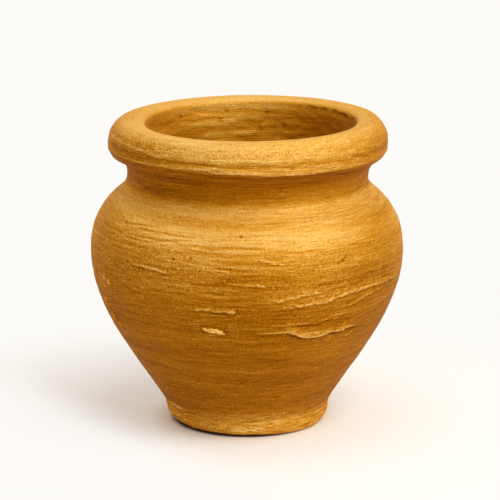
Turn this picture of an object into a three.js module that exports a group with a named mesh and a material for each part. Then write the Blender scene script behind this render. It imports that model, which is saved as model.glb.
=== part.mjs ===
// A small clay pot: narrow foot, wide belly, drawn-in neck and a thick rolled rim.
// It is raised from five sections of clay that are luted together with slip:
// a floor disc, a foot ring, a lower wall, a shoulder wall with the neck, and the roll.
// Millimetres, +Z up, origin at the centre of the underside.
import * as THREE from "three";

// Driving dimensions

// Film of slip left in every joint between two sections
const SLIP = 0.3;
// Thickness of the thrown wall
const WALL = 5.5;

// Foot: widest radius, height, and the rounding of its lower edge
const FOOT_RADIUS = 26.3;
const FOOT_HEIGHT = 6.6;
const FOOT_EDGE_HEIGHT = 3.4;
const FOOT_EDGE_SET_BACK = 4.8;
// Flat width of the foot ring's underside, between the floor disc and the rounded edge
const FOOT_BEARING = 3.4;
// How much wider the wall is than the foot where the two meet in a crease
const CREASE_OVERHANG = 0.2;

// Lower wall: climb from the foot to the belly, and its lean from the vertical as it leaves the foot
const BELLY_RADIUS = 50;
const LOWER_RISE = 49.7;
const LOWER_LEAN = 32;
// Reach of the curve's two ends: how long it keeps the lean, and how full it stays below the belly
const LOWER_STRAIGHT = 18.8;
const BELLY_FULLNESS = 18.2;
// Toe of the lower wall: how far it spreads over the floor, and the height of its hollow corner
const TOE_SPREAD = 7;
const TOE_LIFT = 1.2;

// Seam of the two wall sections: outer edge above the foot, and how far the bevel climbs to the inside
const SEAM_RISE = 33;
const SEAM_LAP = 4.5;

// Shoulder and neck: climb from the belly to the neck's waist, and the reach of the curve's two ends
const NECK_RADIUS = 38.3;
const SHOULDER_RISE = 22.2;
const SHOULDER_FULLNESS = 16.2;
const WAIST_REACH = 2.7;
// Neck above its waist: climb to the underside of the roll, and flare at its upper edge
const NECK_RISE = 5.2;
const NECK_FLARE = 2;

// Roll: overhang past the waist, width, and height above the underside's root
const ROLL_OVERHANG = 6.2;
const ROLL_WIDTH = 10.1;
const ROLL_HEIGHT = 14.4;
// Underside: climb from the root to the lip, and how far the lip stays inside the widest radius
const LIP_RISE = 4.4;
const LIP_INSET = 0.3;
// Groove that sets the lip off from the bulge above it
const LIP_HEIGHT = 2.6;
const GROOVE_DEPTH = 0.5;
const BULGE_RISE = 2.4;
// Top: rounding over the mouth's edge, straight skirt below it, and the crest's distance from the mouth
const MOUTH_ROUND = 4.4;
const MOUTH_SKIRT = 1.4;
const CREST_SET_BACK = 5.2;

// Facets
const SEGMENTS = 56;
const CURVE_STEPS = 10;
const EDGE_STEPS = 6;

// Fired clay under gold paint: the same finish on every section
const CLAY_COLOUR = 0xb87a22;
const CLAY_ROUGHNESS = 0.55;
const CLAY_METALNESS = 0.35;

// Heights and radii that follow from the driving dimensions
const bedHeight = FOOT_HEIGHT + SLIP;
const bellyHeight = bedHeight + LOWER_RISE;
const waistHeight = bellyHeight + SHOULDER_RISE;
const rootHeight = waistHeight + NECK_RISE;
const topHeight = rootHeight + ROLL_HEIGHT;
const neckEdgeHeight = topHeight - MOUTH_ROUND - MOUTH_SKIRT - SLIP;
const creaseRadius = FOOT_RADIUS + CREASE_OVERHANG;
const bearingRadius = FOOT_RADIUS - FOOT_EDGE_SET_BACK;
const floorRadius = bearingRadius - FOOT_BEARING - SLIP;
const rollRadius = NECK_RADIUS + ROLL_OVERHANG;
const mouthRadius = rollRadius - ROLL_WIDTH;
const crestRadius = mouthRadius + CREST_SET_BACK;
const seamHeight = bedHeight + SEAM_RISE;
// Drop of the lower section's bevel that leaves the slip's thickness square to the bevel
const seamDrop = SLIP * Math.hypot(1, SEAM_LAP / WALL);

// A point of a profile: distance from the axis, then height
function at(radius, height) {
  return new THREE.Vector2(radius, height);
}

// The wall's outer face as one smooth line, from the crease above the foot to the neck's upper edge
function makeOuterWall() {
  const lean = THREE.MathUtils.degToRad(LOWER_LEAN);
  const crease = at(creaseRadius, bedHeight);
  const belly = at(BELLY_RADIUS, bellyHeight);
  const waist = at(NECK_RADIUS, waistHeight);
  const line = new THREE.CurvePath();
  line.add(
    new THREE.CubicBezierCurve(
      crease,
      at(Math.sin(lean), Math.cos(lean)).multiplyScalar(LOWER_STRAIGHT).add(crease),
      at(BELLY_RADIUS, bellyHeight - BELLY_FULLNESS),
      belly,
    ),
  );
  line.add(
    new THREE.CubicBezierCurve(
      belly,
      at(BELLY_RADIUS, bellyHeight + SHOULDER_FULLNESS),
      at(NECK_RADIUS, waistHeight - WAIST_REACH),
      waist,
    ),
  );
  line.add(
    new THREE.QuadraticBezierCurve(
      waist,
      at(NECK_RADIUS, rootHeight),
      at(NECK_RADIUS + NECK_FLARE, neckEdgeHeight),
    ),
  );
  return line;
}
const outerWall = makeOuterWall();

// A point at a depth under the wall's outer face, square to it; share runs from 0 at the foot to 1
function wallPoint(share, depth) {
  const along = outerWall.getTangent(share);
  return outerWall.getPoint(share).add(at(-along.y, along.x).multiplyScalar(depth));
}

// The share of the wall at which the face at a depth reaches a height, by halving the interval
function shareAtHeight(height, depth) {
  let low = 0;
  let high = 1;
  while (high - low > 1e-7) {
    const middle = (low + high) / 2;
    if (wallPoint(middle, depth).y < height) low = middle;
    else high = middle;
  }
  return (low + high) / 2;
}

// Points of the wall's face at a depth, from one share of the wall to another
function wallLine(from, to, depth, steps) {
  return Array.from({ length: steps + 1 }, (_, i) => wallPoint(from + ((to - from) * i) / steps, depth));
}

// Points of an ellipse about a centre, counter-clockwise between two angles in degrees
function ellipsePoints(centre, radiusAcross, radiusUp, fromDegrees, toDegrees) {
  const from = THREE.MathUtils.degToRad(fromDegrees);
  const to = THREE.MathUtils.degToRad(toDegrees);
  const arc = new THREE.EllipseCurve(centre.x, centre.y, radiusAcross, radiusUp, from, to);
  return arc.getPoints(EDGE_STEPS);
}

// A solid of revolution about +Z from a profile that runs round its section counter-clockwise;
// a profile that doesn't start on the axis is closed on itself
function thrown(name, profile) {
  const outline = profile[0].x === 0 ? profile : [...profile, profile[0]];
  const geometry = new THREE.LatheGeometry(outline, SEGMENTS).rotateX(Math.PI / 2);
  const material = new THREE.MeshStandardMaterial({
    color: CLAY_COLOUR,
    roughness: CLAY_ROUGHNESS,
    metalness: CLAY_METALNESS,
  });
  const mesh = new THREE.Mesh(geometry, material);
  mesh.name = name;
  return mesh;
}

// Floor: a flat disc inside the foot ring
function floorDisc() {
  return thrown("floor_disc", [
    at(0, 0),
    at(floorRadius, 0),
    at(floorRadius, FOOT_HEIGHT),
    at(0, FOOT_HEIGHT),
  ]);
}

// Foot: a ring round the floor disc, with a rounded lower edge, that carries the wall
function footRing() {
  const edgeCentre = at(bearingRadius, FOOT_EDGE_HEIGHT);
  return thrown("foot_ring", [
    at(floorRadius + SLIP, 0),
    ...ellipsePoints(edgeCentre, FOOT_EDGE_SET_BACK, FOOT_EDGE_HEIGHT, -90, 0),
    at(creaseRadius, FOOT_HEIGHT),
    at(floorRadius + SLIP, FOOT_HEIGHT),
  ]);
}

// Lower wall: stands on the floor disc and the foot ring, and ends in a bevel that the shoulder laps over
function lowerWall() {
  const outerEnd = shareAtHeight(seamHeight - seamDrop, 0);
  const innerEnd = shareAtHeight(seamHeight + SEAM_LAP - seamDrop, WALL);
  const innerFoot = wallPoint(0, WALL);
  const toe = at(innerFoot.x - TOE_SPREAD, bedHeight);
  const corner = at((innerFoot.x + toe.x) / 2, bedHeight + TOE_LIFT);
  const hollow = new THREE.QuadraticBezierCurve(innerFoot, corner, toe);
  return thrown("lower_wall", [
    ...wallLine(0, outerEnd, 0, CURVE_STEPS),
    ...wallLine(innerEnd, 0, WALL, CURVE_STEPS),
    ...hollow.getPoints(EDGE_STEPS).slice(1),
  ]);
}

// Shoulder wall: from the bevelled seam over the belly to the neck, whose edge stands up inside the roll
function shoulderWall() {
  const outerStart = shareAtHeight(seamHeight, 0);
  const innerStart = shareAtHeight(seamHeight + SEAM_LAP, WALL);
  const innerEnd = shareAtHeight(neckEdgeHeight, WALL);
  return thrown("shoulder_wall", [
    ...wallLine(outerStart, 1, 0, 2 * CURVE_STEPS),
    ...wallLine(innerEnd, innerStart, WALL, 2 * CURVE_STEPS),
  ]);
}

// Roll: a thick ring of clay folded over the neck's edge, with a grooved lip and a bevelled underside
function rimRoll() {
  const seat = wallLine(1, shareAtHeight(rootHeight, -SLIP), -SLIP, EDGE_STEPS);
  const ceiling = neckEdgeHeight + SLIP;
  const throat = wallPoint(shareAtHeight(neckEdgeHeight, WALL), WALL);
  const lip = at(rollRadius - LIP_INSET, rootHeight + LIP_RISE);
  const groove = at(rollRadius - GROOVE_DEPTH, lip.y + LIP_HEIGHT);
  const bulge = at(rollRadius, groove.y + BULGE_RISE);
  const overLip = at(rollRadius, (lip.y + groove.y) / 2);
  const underBulge = at(rollRadius, (groove.y + bulge.y) / 2);
  const lipBead = new THREE.QuadraticBezierCurve(lip, overLip, groove);
  const grooveSide = new THREE.QuadraticBezierCurve(groove, underBulge, bulge);
  const crestFoot = at(crestRadius, bulge.y);
  const mouthCentre = at(crestRadius, topHeight - MOUTH_ROUND);
  return thrown("rim_roll", [
    ...lipBead.getPoints(EDGE_STEPS),
    ...grooveSide.getPoints(EDGE_STEPS).slice(1),
    ...ellipsePoints(crestFoot, rollRadius - crestRadius, topHeight - bulge.y, 0, 90).slice(1),
    ...ellipsePoints(mouthCentre, CREST_SET_BACK, MOUTH_ROUND, 90, 180).slice(1),
    at(throat.x, ceiling),
    at(seat[0].x, ceiling),
    ...seat,
  ]);
}

const pot = new THREE.Group();
pot.name = "clay_pot";
pot.add(floorDisc(), footRing(), lowerWall(), shoulderWall(), rimRoll());

export default pot;
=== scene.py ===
"""Looks of a small clay pot: five luted sections of rough clay, fired and brushed with matt gold paint.

Lengths are millimetres until a mesh is made. Angles round the pot are degrees from the front, the side
that faces -Y, and grow towards +X. One line, the pot's own half section, runs from the foot up the
outside, over the rim and down the inside to the middle of the floor. A place on the pot is an angle and
a distance along that line, so a mark that crosses two sections meets itself at their seam.
"""

import bpy
import numpy as np
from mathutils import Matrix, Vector


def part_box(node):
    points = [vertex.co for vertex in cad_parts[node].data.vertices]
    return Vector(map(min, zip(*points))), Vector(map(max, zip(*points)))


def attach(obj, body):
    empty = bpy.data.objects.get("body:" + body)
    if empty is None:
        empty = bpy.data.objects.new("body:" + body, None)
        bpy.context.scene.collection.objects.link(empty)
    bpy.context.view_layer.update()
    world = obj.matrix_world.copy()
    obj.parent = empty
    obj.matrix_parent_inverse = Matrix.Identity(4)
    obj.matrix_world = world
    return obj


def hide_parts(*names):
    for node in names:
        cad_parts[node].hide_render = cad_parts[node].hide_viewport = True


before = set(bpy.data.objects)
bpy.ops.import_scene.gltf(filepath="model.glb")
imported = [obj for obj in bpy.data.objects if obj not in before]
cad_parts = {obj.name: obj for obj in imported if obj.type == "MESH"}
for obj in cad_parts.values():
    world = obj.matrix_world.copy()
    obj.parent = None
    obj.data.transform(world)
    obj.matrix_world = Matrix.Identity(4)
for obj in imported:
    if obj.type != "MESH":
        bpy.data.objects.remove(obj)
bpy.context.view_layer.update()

MM = 0.001


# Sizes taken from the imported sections

def reach(node):
    """Lowest height, highest height and widest radius of a packed section."""
    low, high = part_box(node)
    return low.z / MM, high.z / MM, high.x / MM


_, _, CREASE_RADIUS = reach("foot_ring")
_, _, FLOOR_RADIUS = reach("floor_disc")
BED_HEIGHT, _, _ = reach("lower_wall")
SEAM_HEIGHT, NECK_EDGE, BELLY_RADIUS = reach("shoulder_wall")
_, TOP_HEIGHT, ROLL_RADIUS = reach("rim_roll")

# Sizes of the half section that the boxes don't give

WALL = 5.5
FOOT_RADIUS = 26.0
FOOT_EDGE_HEIGHT = 3.4
FOOT_EDGE_SET_BACK = 4.6
FOOT_SQUARENESS = 1.75
LOWER_LEAN = 32
LOWER_STRAIGHT = 18.8
BELLY_HEIGHT = 56.6
BELLY_FULLNESS = 18.2
WAIST_RADIUS = 38.3
WAIST_HEIGHT = 79.1
SHOULDER_FULLNESS = 16.4
WAIST_REACH = 4.0
NECK_BEND_HEIGHT = 84
NECK_FLARE = 2.0
MOUTH_RADIUS = 34.4
MOUTH_ROUND = 2.8
THROAT_FLARE = 0.1
CREST_SET_BACK = 5.2
SEAM_LAP = 4.5
TOE_SPREAD = 7
TOE_LIFT = 1.2

# Roll: root of its underside, how far below it the wall stops, its sharp lip and its widest height,
# and how square its inner and its outer edge are
ROLL_ROOT = (38.9, 84.2)
ROOT_TRIM = 0.6
LIP_POINT = (44.3, 89.0)
BULGE_HEIGHT = 91.8
MOUTH_SQUARENESS = 2.8
ROLL_SQUARENESS = 1.75

# The hand's own unevenness: crest and mouth tip, the mouth is squeezed by a share of its radius,
# roll, mouth, lower wall and foot sit off the middle, and the lip climbs on the left
CREST_TILT = np.radians(0.4)
MOUTH_TILT = np.radians(0.5)
MOUTH_SQUEEZE = 0.03
ROLL_SHIFT = 0.3
MOUTH_SHIFT = 1.0
LOWER_SHIFT = -0.1
FOOT_SHIFT = 0.4
LIP_CLIMB = 1.2
LIP_CLIMB_REACH = 2.2

# Where each of these sets in and where it is full: heights, radii, and angles for the lip
CREST_HEIGHTS = (88, 95)
ROLL_HEIGHTS = (82, 86)
MOUTH_HEIGHTS = (74, 90)
MOUTH_RADII = (43, 36)
THROAT_HEIGHTS = (55, 85)
THROAT_RADII = (37.5, 34.5)
LOWER_HEIGHTS = (48, 38)
LOWER_END = (7, 13)
FOOT_HEIGHTS = (7, 0)
LIP_ANGLES = (12, -28)
LIP_END = (-90, -65)
LIP_RADII = (38, 41)

# Grid: columns round the pot, the spacing of rows along the half section, and points along its curves
COLUMNS = 560
LINE_STEP = 0.05
FINE_STEP = 0.3
PLAIN_STEP = 0.45
NECK_STEP = 0.9
THROAT_STEP = 0.7
INNER_STEP = 3.6
JOINT_STEP = 2.5
CURVE_POINTS = 200
ARC_POINTS = 120
SKIN_SAMPLES = 2000

# How softly the half section turns its corners: in general, and at single points with their reach;
# the bell curve that softens them ends at some of its widths
CORNER_SOFTNESS = 0.6
SOFT_CORNERS = [
    (ROLL_ROOT, 2.6, 1.4),
    (LIP_POINT, 1.5, 0.18),
    ((CREASE_RADIUS, BED_HEIGHT), 3.5, 1.4),
    ((WAIST_RADIUS, WAIST_HEIGHT), 3.0, 1.4),
    ((MOUTH_RADIUS, TOP_HEIGHT), 3.0, 0.3),
]
BELL_WIDTHS = 4

# Brings the noise to about 1 at most
NOISE_GAIN = 1.5


# The half section

def curve(start, start_handle, end_handle, end):
    """Cubic curve: its ends and handles, weighed by the four terms of the cube of (1 - t) + t."""
    t = np.linspace(0, 1, CURVE_POINTS)[:, None]
    near, far = 1 - t, t
    return (near ** 3 * np.array(start) + 3 * near ** 2 * far * np.array(start_handle)
            + 3 * near * far ** 2 * np.array(end_handle) + far ** 3 * np.array(end))


def bend(start, corner, end):
    """Curve along the two sides of a corner: a cubic with its handles two thirds of the way to it."""
    start, corner, end = np.array(start), np.array(corner), np.array(end)
    return curve(start, start + (corner - start) * 2 / 3, end + (corner - end) * 2 / 3, end)


def arc(centre, across, up, start, end, squareness):
    """Arc of an ellipse: centre plus its two half widths times the cosine and sine of an angle.

    Cosine and sine are raised to 2 over the squareness, so that more than 2 gives fuller corners.
    """
    angle = np.radians(np.linspace(start, end, ARC_POINTS))
    swing = np.column_stack([np.cos(angle), np.sin(angle)])
    swing = np.sign(swing) * np.abs(swing) ** (2 / squareness)
    return np.array(centre) + swing * (across, up)


def evenly(points):
    """The same line with its points LINE_STEP apart, by interpolation along its length."""
    length = np.concatenate([[0], np.cumsum(np.hypot(*np.diff(points, axis=0).T))])
    keep = np.concatenate([[True], np.diff(length) > 1e-9])
    place = np.arange(0, length[-1], LINE_STEP)
    return np.column_stack([np.interp(place, length[keep], points[keep, i]) for i in (0, 1)])


def softened(points, width):
    """The line's running mean under a bell curve of a width, which rounds its corners."""
    half = int(BELL_WIDTHS * width / LINE_STEP)
    bell = np.exp(-0.5 * (np.arange(-half, half + 1) * LINE_STEP / width) ** 2)
    bell /= bell.sum()
    before = 2 * points[0] - points[half:0:-1]
    after = 2 * points[-1] - points[-2:-half - 2:-1]
    padded = np.vstack([before, points, after])
    return np.column_stack([np.convolve(padded[:, i], bell, "valid") for i in (0, 1)])


def wall_line():
    """Outer face of the wall: the lower curve, the shoulder curve and the flaring neck, end to end."""
    lean = np.radians(LOWER_LEAN)
    crease = np.array([CREASE_RADIUS, BED_HEIGHT])
    belly = (BELLY_RADIUS, BELLY_HEIGHT)
    waist = (WAIST_RADIUS, WAIST_HEIGHT)
    return np.vstack([
        curve(crease, crease + LOWER_STRAIGHT * np.array([np.sin(lean), np.cos(lean)]),
              (BELLY_RADIUS, BELLY_HEIGHT - BELLY_FULLNESS), belly),
        curve(belly, (BELLY_RADIUS, BELLY_HEIGHT + SHOULDER_FULLNESS),
              (WAIST_RADIUS, WAIST_HEIGHT - WAIST_REACH), waist)[1:],
        bend(waist, (WAIST_RADIUS, NECK_BEND_HEIGHT), (WAIST_RADIUS + NECK_FLARE, NECK_EDGE))[1:],
    ])


def outward(points):
    """Unit normal on the right-hand side of the line's travel, from its central differences."""
    step = np.gradient(points, axis=0)
    step /= np.hypot(step[:, 0], step[:, 1])[:, None]
    return np.column_stack([step[:, 1], -step[:, 0]])


def half_section():
    """The whole line: foot, outer wall, underside of the roll, roll, throat, inner wall, hollow, floor."""
    wall = evenly(wall_line())
    inner_wall = (wall - WALL * outward(wall))[::-1]
    throat = MOUTH_RADIUS - THROAT_FLARE * (TOP_HEIGHT - MOUTH_ROUND - inner_wall[:, 1])
    drawn_in = np.minimum(inner_wall[:, 0], throat)
    inner_wall[:, 0] = np.where(inner_wall[:, 1] > WAIST_HEIGHT, drawn_in, inner_wall[:, 0])
    inner_foot = inner_wall[-1]
    toe = (inner_foot[0] - TOE_SPREAD, BED_HEIGHT)
    hollow = ((inner_foot[0] + toe[0]) / 2, BED_HEIGHT + TOE_LIFT)
    foot_centre = (FOOT_RADIUS - FOOT_EDGE_SET_BACK, FOOT_EDGE_HEIGHT)
    crest_radius = MOUTH_RADIUS + CREST_SET_BACK
    roll_width, roll_height = ROLL_RADIUS - crest_radius, TOP_HEIGHT - BULGE_HEIGHT
    mouth_centre = (crest_radius, TOP_HEIGHT - MOUTH_ROUND)
    line = evenly(np.vstack([
        arc(foot_centre, FOOT_EDGE_SET_BACK, FOOT_EDGE_HEIGHT, -90, 0, FOOT_SQUARENESS),
        wall[wall[:, 1] < ROLL_ROOT[1] - ROOT_TRIM],
        [ROLL_ROOT, LIP_POINT],
        arc((crest_radius, BULGE_HEIGHT), roll_width, roll_height, 0, 90, ROLL_SQUARENESS),
        arc(mouth_centre, CREST_SET_BACK, MOUTH_ROUND, 90, 180, MOUTH_SQUARENESS),
        inner_wall[inner_wall[:, 1] < NECK_EDGE],
        bend(inner_foot, hollow, toe),
        [(0, BED_HEIGHT)],
    ]))
    smooth = softened(line, CORNER_SOFTNESS)
    for corner, span, softness in SOFT_CORNERS:
        near = np.exp(-(np.hypot(*(line - corner).T) / span) ** 2)[:, None]
        smooth = smooth * (1 - near) + softened(line, softness) * near
    return smooth


LINE = half_section()
LINE_PLACE = np.arange(len(LINE)) * LINE_STEP
LINE_NORMAL = outward(LINE)


def on_line(place, values=LINE):
    """Radius and height of places on the line, or the two parts of the normal there."""
    return np.column_stack([np.interp(place, LINE_PLACE, values[:, i]) for i in (0, 1)])


def place_near(radius, height):
    """Distance along the line to its point nearest to a radius and height."""
    return LINE_PLACE[np.argmin(np.hypot(LINE[:, 0] - radius, LINE[:, 1] - height))]


CREASE = place_near(CREASE_RADIUS, BED_HEIGHT)
CREST = place_near(MOUTH_RADIUS + CREST_SET_BACK, TOP_HEIGHT)
OUTSIDE = LINE_PLACE < CREST


def outer_place(height):
    """Distance along the line to a height on the outside."""
    return np.interp(height, LINE[OUTSIDE, 1], LINE_PLACE[OUTSIDE])


SEAM = outer_place(SEAM_HEIGHT)
BELLY = outer_place(BELLY_HEIGHT)
WAIST = outer_place(WAIST_HEIGHT)
ROOT = outer_place(ROLL_ROOT[1])
LIP = outer_place(LIP_POINT[1])
BULGE = outer_place(BULGE_HEIGHT)
EDGE = place_near(MOUTH_RADIUS, TOP_HEIGHT)
MOUTH = place_near(MOUTH_RADIUS, TOP_HEIGHT - MOUTH_ROUND)
INSIDE = (LINE_PLACE > MOUTH) & (LINE[:, 0] > FLOOR_RADIUS)


def inner_place(height):
    """Distance along the line to a height on the inside."""
    return np.interp(height, LINE[INSIDE, 1][::-1], LINE_PLACE[INSIDE][::-1])


THROAT = inner_place(NECK_EDGE)
INNER_SEAM = inner_place(SEAM_HEIGHT + SEAM_LAP)
TOE = place_near(CREASE_RADIUS - WALL - TOE_SPREAD, BED_HEIGHT)


# Relief of the clay, in millimetres of height over the smooth half section

def smoothstep(x):
    """0 below 0, 1 above 1, and a soft S between."""
    x = np.clip(x, 0, 1)
    return x * x * (3 - 2 * x)


def between(value, start, full):
    """0 before the start, 1 past where it is full, and a soft S on the way, which may lead downwards."""
    return smoothstep((value - start) / (full - start))


def signed_angle(degrees):
    """An angle brought between -180 and 180 degrees."""
    return (degrees + 180) % 360 - 180


def noise(turn, along, cells, seed, slant=0.0):
    """Gradient noise from about -1 to 1 that closes round the pot.

    Random directions stand on a lattice with a number of cells round the pot, each row of it moved on by
    the slant. At a point, the four corners' directions are multiplied with the offsets to it and blended
    by weights of the fifth degree.
    """
    u = turn * cells + slant * along
    low_u, low_v = np.floor(u).astype(int), np.floor(along).astype(int)
    du, dv = u - low_u, along - low_v
    low_v = low_v - low_v.min()
    angle = np.random.default_rng(seed).uniform(0, 2 * np.pi, (low_v.max() + 2, cells))

    def corner(i, j):
        heading = angle[low_v + j, (low_u + i) % cells]
        return np.cos(heading) * (du - i) + np.sin(heading) * (dv - j)

    def fade(x):
        return x ** 3 * (x * (6 * x - 15) + 10)

    wu, wv = fade(du), fade(dv)
    below = corner(0, 0) * (1 - wu) + corner(1, 0) * wu
    above = corner(0, 1) * (1 - wu) + corner(1, 1) * wu
    return NOISE_GAIN * (below * (1 - wv) + above * wv)


def round_noise(turn, cells, seed):
    """Noise that changes round the pot, but not along the line."""
    return noise(turn, np.full_like(turn, 0.5), cells, seed)


def layers(turn, along, rows):
    """Sum of noises: spacing along the line, cells round the pot, height, seed and any slant of each."""
    return sum(tall * noise(turn, along / spacing, cells, *rest) for spacing, cells, tall, *rest in rows)


def zone(place, marks):
    """A strength that runs in straight lines between (distance along the line, value) marks."""
    return np.interp(place, *zip(*marks))


def patch(turn, place, angle, middle, half_round, half_up):
    """1 at an angle and a place on the line, and less about it: a bell curve of two half widths."""
    away = np.hypot(signed_angle(turn * 360 - angle) / half_round, (place - middle) / half_up)
    return np.exp(-away ** 2)


def along_path(turn, path):
    """Height of a marked path at every angle, and the mark's strength there.

    A path's points may carry the strength as a third number. Else it is 1, and tapers to 0 over the quarter
    of the path at each end.
    """
    angles, heights, *strength = np.array(path, float).T
    middle, taper = (angles[0] + angles[-1]) / 2, (angles[-1] - angles[0]) / 4
    here = middle + signed_angle(turn * 360 - middle)
    if strength:
        return np.interp(here, angles, heights), np.interp(here, angles, strength[0], 0, 0)
    ends = smoothstep((here - angles[0]) / taper) * smoothstep((angles[-1] - here) / taper)
    return np.interp(here, angles, heights), ends


# Torn ledges: clay that was dragged down and left standing over a sharp drop, and ridges and burrs like
# them. Each has its lower edge as points of angle, height and maybe strength, its height, its run-out
# upwards, how crumbled it is, and its share of wear and of painted highlight on its face.
LEDGES = {
    "thin_ridge": ([(-22, 47.3, 0), (-18, 47.3, 0.8), (-12.6, 47.4, 1), (-11.5, 47.1, 0.8), (-7.7, 47.3, 1),
                    (-6.6, 47.0, 1), (-4.6, 46.9, 0.9), (-3.4, 46.9, 0)], 0.5, 1.2, 0.6, 0.55),
    "long_ledge": ([(1, 39.6, 0), (5, 39.5, 0.3), (10.4, 39.5, 0.4), (13.8, 39.5, 0.5), (15.3, 39.6, 0.65),
                    (18.1, 38.8, 0.85), (20.6, 37.7, 1), (23.0, 37.2, 1), (27.3, 37.0, 1), (31.0, 37.4, 0.8),
                    (34.3, 37.9, 0.55), (35.4, 37.8, 0.45), (37.8, 37.8, 0.6), (39.8, 37.8, 0.8),
                    (41.5, 38.0, 0.55), (44.3, 38.2, 0.4), (48.8, 37.6, 0.1), (53, 37.4, 0)],
                   1.0, 3.0, 0.22, 0.58),
    "ragged_end": ([(40, 35.8, 0), (41.5, 35.6, 0.5), (43.9, 35.5, 0.8), (45.1, 35.7, 0.8),
                    (46.2, 36.2, 0.5), (47.5, 36.8, 0)], 0.35, 0.5, 0.4, 0.2),
    "torn_edge": ([(9, 47.9, 0), (13.5, 47.8, 0.5), (17.1, 48.2, 0.6), (24.6, 48.5, 0.7), (29.4, 48.5, 0.8),
                   (31, 49.0, 1), (33.8, 49.9, 1), (36, 50.0, 1), (39.1, 50.3, 0.9), (44, 50.3, 0.8),
                   (49.3, 50.9, 0.9), (54.1, 50.8, 0.9), (61.4, 50.7, 0.7), (68.4, 50.2, 0.5), (77, 50.0, 0)],
                  0.65, 1.8, 0.9, 0.3),
    "upper_tear": ([(5, 51.6, 0), (8.4, 51.1, 0.6), (10.8, 50.4, 0.6), (14.4, 51.0, 1), (16.9, 51.1, 0.9),
                    (19.8, 51.7, 1), (24.3, 52.0, 0.8), (29, 52.7, 0.5), (33, 53.0, 0)], 0.32, 1.2, 0.9, 0.2),
    "lower_tear": ([(5, 42.2, 0), (11.4, 42.3, 0.6), (19.7, 42.5, 1), (25.7, 42.1, 0.8), (29, 42.5, 1),
                    (33.5, 43.5, 1), (38.4, 43.9, 0.7), (46.1, 43.9, 0)], 0.22, 1.0, 0.9, 0.2),
    "side_tear": ([(33.3, 45.9, 0), (37.3, 46.2, 0.6), (40.5, 46.6, 0.8), (44.8, 47.2, 1), (48.9, 48.3, 1),
                   (55.5, 48.9, 0.6), (61, 49.0, 0)], 0.35, 1.1, 0.9, 0.25),
    "middle_ridge": ([(-8, 56.8), (-4.9, 56.1), (-2.4, 56.0), (0.3, 55.8), (3.5, 55.7), (5.9, 55.3),
                      (8.2, 55.1)], 0.25, 0.7, 0.6, 0.25),
    "left_ridge": ([(-47, 59.4), (-43.1, 59.0), (-40.2, 58.8), (-36.9, 58.6), (-33.8, 58.5),
                    (-30.8, 58.2), (-27, 58.0)], 0.5, 0.5, 0.5, 0.28),
    "crack_ridge": ([(2, 63.7), (4.6, 63.4), (6.7, 63.2), (8.1, 62.7), (9.9, 62.1), (14.5, 61.9)],
                    0.22, 0.5, 0.7, 0.25),
    "left_lump": ([(-67, 51.3), (-64, 50.9), (-61, 50.3), (-58, 49.9)], 0.25, 1.4, 0.4, 0.1),
    "left_tear": ([(-71, 44.6), (-68, 42.6), (-66.5, 39.8), (-64.5, 37.6), (-62, 37.0)], 0.55, 1.5, 0.5, 0.1),
    "back_ledge_1": ([(104, 41.2), (112, 40.2), (121, 39.6), (130, 39.9), (139, 38.8), (147, 39.4)],
                     0.7, 1.5, 0.3, 0.2),
    "back_ledge_2": ([(158, 47.9), (166, 47.2), (176, 46.8), (187, 47.5), (196, 46.9), (205, 47.8)],
                     0.5, 0.9, 0.6, 0.3),
    "back_ledge_3": ([(203, 40.6), (212, 39.8), (222, 38.9), (231, 39.5), (238, 39.1)], 0.7, 1.3, 0.3, 0.3),
    "back_ledge_4": ([(236, 52.8), (246, 52.0), (257, 51.8), (266, 52.5)], 0.4, 0.8, 0.6, 0.2),
    "back_ledge_5": ([(236, 43.6), (245, 42.9), (253, 42.7), (260, 43.3), (266, 42.9)], 0.5, 0.8, 0.6, 0.3),
    "back_ledge_6": ([(118, 57.6), (129, 56.8), (141, 56.5), (152, 57.1)], 0.4, 0.8, 0.6, 0.2),
    "roll_ridge": ([(-86, 94.1, 0), (-77, 94.2, 0.8), (-65, 94.2, 1), (-58, 94.1, 1), (-47, 93.4, 0.9),
                    (-38.6, 92.5, 0.6), (-29.6, 92.1, 0.3), (-22, 92.0, 0)], 0.16, 0.8, 0.4, 0.22),
    "lip_burr": ([(-70, 88.6, 0), (-62, 88.6, 0.5), (-50, 88.6, 0.6), (-40, 88.6, 0.3), (-32, 88.6, 0.3),
                  (-27, 88.8, 1), (-16, 88.9, 1), (-14.4, 88.5, 1), (-8, 88.5, 0.8), (0, 88.8, 0.7),
                  (6, 88.5, 0.8), (14, 88.5, 0.7), (24, 88.5, 0.6), (42, 88.6, 0.4), (66, 88.6, 0)],
                 0.3, 0.6, 0.6, 0.24),
    "foot_burr": ([(-66, 7.6), (-61, 7.2), (-56, 6.9), (-48, 6.7)], 0.4, 1.1, 0.6, 1.0),
}
# Flake of bare clay stuck on the wall: its lower and its upper edge as (angle, height) points, its height,
# and the width of its edges
FLAKE_LOWER = [(-17.3, 41.8), (-15.8, 40.9), (-14.4, 40.3), (-12.0, 40.1), (-10.0, 39.9), (-7.6, 39.7)]
FLAKE_UPPER = [(-17.3, 41.8), (-16.4, 42.2), (-13.6, 42.3), (-10.7, 42.0), (-9.1, 41.4), (-7.6, 39.7)]
FLAKE_HEIGHT = 0.6
FLAKE_EDGE = 0.35

# A ledge's drop below its edge, how far the edge strays, and how ragged even a smooth one is
LEDGE_DROP = 0.35
LEDGE_RAGGED = 0.22
LEAST_RAGGED = 0.3
# Its undercut, the reach of the shadow beneath it, and how dark that is
LEDGE_UNDERCUT = 0.12
SHADOW_REACH = 0.15
LEDGE_SHADE = 0.12
# How much paler a ledge's face is painted as a highlight, how much of its paint is worn off there, and how
# far both climb
LEDGE_HIGHLIGHT = 0.6
WORN_EDGE = 0.3
HIGHLIGHT_REACH = 0.75

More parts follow.
